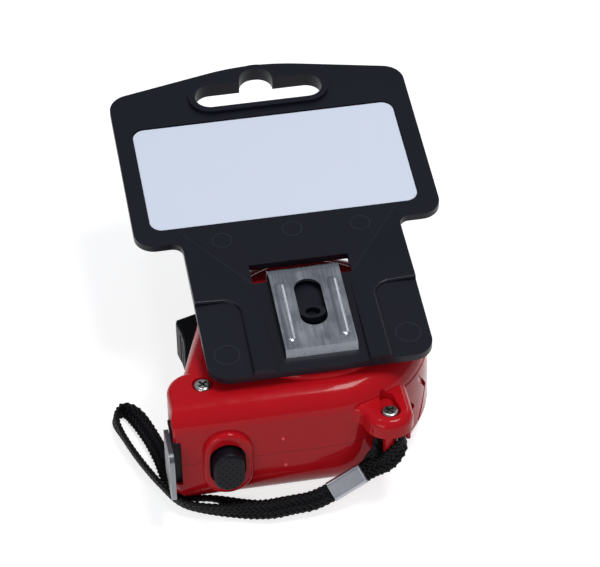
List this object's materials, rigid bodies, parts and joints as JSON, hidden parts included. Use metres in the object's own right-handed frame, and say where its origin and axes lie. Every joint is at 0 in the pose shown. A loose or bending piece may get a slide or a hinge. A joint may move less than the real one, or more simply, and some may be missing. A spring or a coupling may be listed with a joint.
{
  "type": "tape measure",
  "caption": "Pocket tape measure with a sprung blade, sliding thumb lock, brake button, belt clip, wrist strap and hanging card.",
  "frame": {"origin": "centre of the reel's axis on the flat front face of the case, the face it lies on", "axes": "+Z along the reel's axis from the front face to the belt clip side, +Y up the hanging card, -X out of the blade's mouth"},
  "size_m": [0.0859, 0.1191, 0.0463],
  "materials": {
    "case_red": "moulded red ABS, satin gloss",
    "black_plastic": "moulded black nylon, satin",
    "blade_paint": "yellow lacquered spring steel",
    "steel_bright": "bright nickel-plated steel",
    "steel_screw": "zinc-plated steel",
    "spool_plastic": "natural acetal",
    "spring_steel": "blued spring steel",
    "rubber_pad": "dark rubber",
    "card_plastic": "navy-black polypropylene",
    "label_film": "bare pale film",
    "crimp_metal": "matt aluminium",
    "strap_braid": "black polyester braid"
  },
  "bodies": {
    "case": {"front_shell": "case_red", "rear_shell": "case_red", "mouth_insert": "black_plastic", "reel_arbor": "steel_bright", "case_screws": "steel_screw", "belt_clip": "steel_bright", "clip_screw": "steel_screw", "hang_card": "card_plastic", "card_label": "label_film", "strap_crimp": "crimp_metal", "strap_loop": "strap_braid", "strap_tether": "strap_braid", "button_spring": "spring_steel"},
    "reel": {"tape_coil": "blade_paint", "spool": "spool_plastic", "spool_cover": "spool_plastic", "power_spring": "spring_steel"},
    "blade": {"tape_blade": "blade_paint", "hook_rivets": "steel_bright"},
    "hook": {"end_hook": "steel_bright"},
    "lock": {"thumb_lock": "black_plastic", "lock_wedge": "rubber_pad"},
    "button": {"brake_button": "black_plastic"}
  },
  "joints": [
    {"name": "reel_spin", "type": "hinge", "parent": "case", "child": "reel", "pos_m": [0, 0, 0.0152], "axis": [0, 0, -1], "range_deg": [0, 64]},
    {"name": "tape_pull", "type": "slide", "parent": "case", "child": "blade", "axis": [-1, 0, 0], "range_m": [0, 0.0251]},
    {"name": "hook_play", "type": "slide", "parent": "blade", "child": "hook", "axis": [-1, 0, 0], "range_m": [0, 0.0008]},
    {"name": "lock_slide", "type": "slide", "parent": "case", "child": "lock", "axis": [-0.2867, -0.958, 0], "range_m": [0, 0.005]},
    {"name": "button_push", "type": "slide", "parent": "case", "child": "button", "axis": [0, 1, 0], "range_m": [0, 0.002], "stiffness_N_per_m": 250, "deforming": ["button_spring"]}
  ],
  "couplings": [
    {"joint": "tape_pull", "follows": "reel_spin", "m_per_rad": 0.0224}
  ]
}
